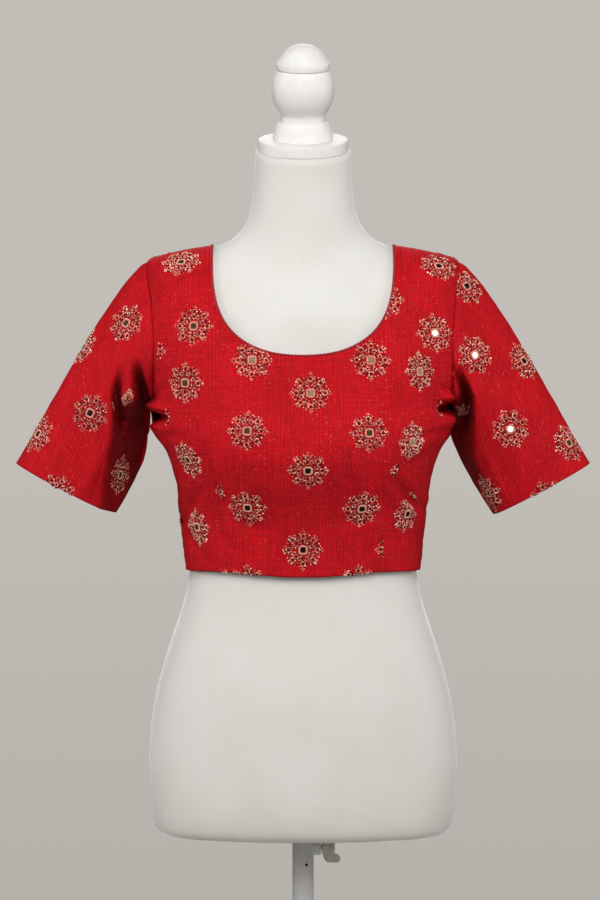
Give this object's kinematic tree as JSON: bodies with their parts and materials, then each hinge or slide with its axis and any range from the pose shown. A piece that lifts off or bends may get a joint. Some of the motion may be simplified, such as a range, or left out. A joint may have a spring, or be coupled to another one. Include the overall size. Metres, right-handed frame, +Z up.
{
  "type": "choli blouse on a limbless dress form with a pole stand",
  "caption": "Short choli blouse with elbow sleeves and a deep round neck, worn by a limbless dress form on a height-adjustable pole stand.",
  "frame": {"origin": "centre of the base disc's underside, on the floor under the pole", "axes": "+Z up, the blouse's front faces -Y, the wearer's left is +X"},
  "size_m": [0.62, 0.32, 1.3742],
  "materials": {
    "red_cloth": "matte ribbed handloom weave with fine lurex slubs",
    "neck_cord": "matte corded edging",
    "white_jersey": "matte jersey cover over rigid foam",
    "white_paint": "satin white paint",
    "grey_steel": "dull grey steel tube",
    "screw_metal": "cast metal, knurled"
  },
  "bodies": {
    "stand": {"base_disc": "white_paint", "base_ferrule": "grey_steel", "stand_tube": "grey_steel", "clamp_boss": "grey_steel"},
    "riser": {"riser_tube": "grey_steel"},
    "form": {"form_torso": "white_jersey", "neck_plate": "white_paint", "neck_finial": "white_paint", "blouse_front": "red_cloth", "blouse_back_left": "red_cloth", "blouse_back_right": "red_cloth", "back_placket": "red_cloth", "sleeve_left": "red_cloth", "sleeve_right": "red_cloth", "neck_piping": "neck_cord"},
    "clamp_screw": {"clamp_screw": "screw_metal"}
  },
  "joints": [
    {"name": "height", "type": "slide", "parent": "stand", "child": "riser", "axis": [0, 0, 1], "range_m": [0, 0.25]},
    {"name": "swivel", "type": "hinge", "parent": "riser", "child": "form", "pos_m": [0, 0, 0.52], "axis": [0, 0, 1], "continuous": true},
    {"name": "clamp_turn", "type": "hinge", "parent": "stand", "child": "clamp_screw", "pos_m": [0.0275, 0, 0.5045], "axis": [1, 0, 0], "range_deg": [-75, 75]}
  ]
}
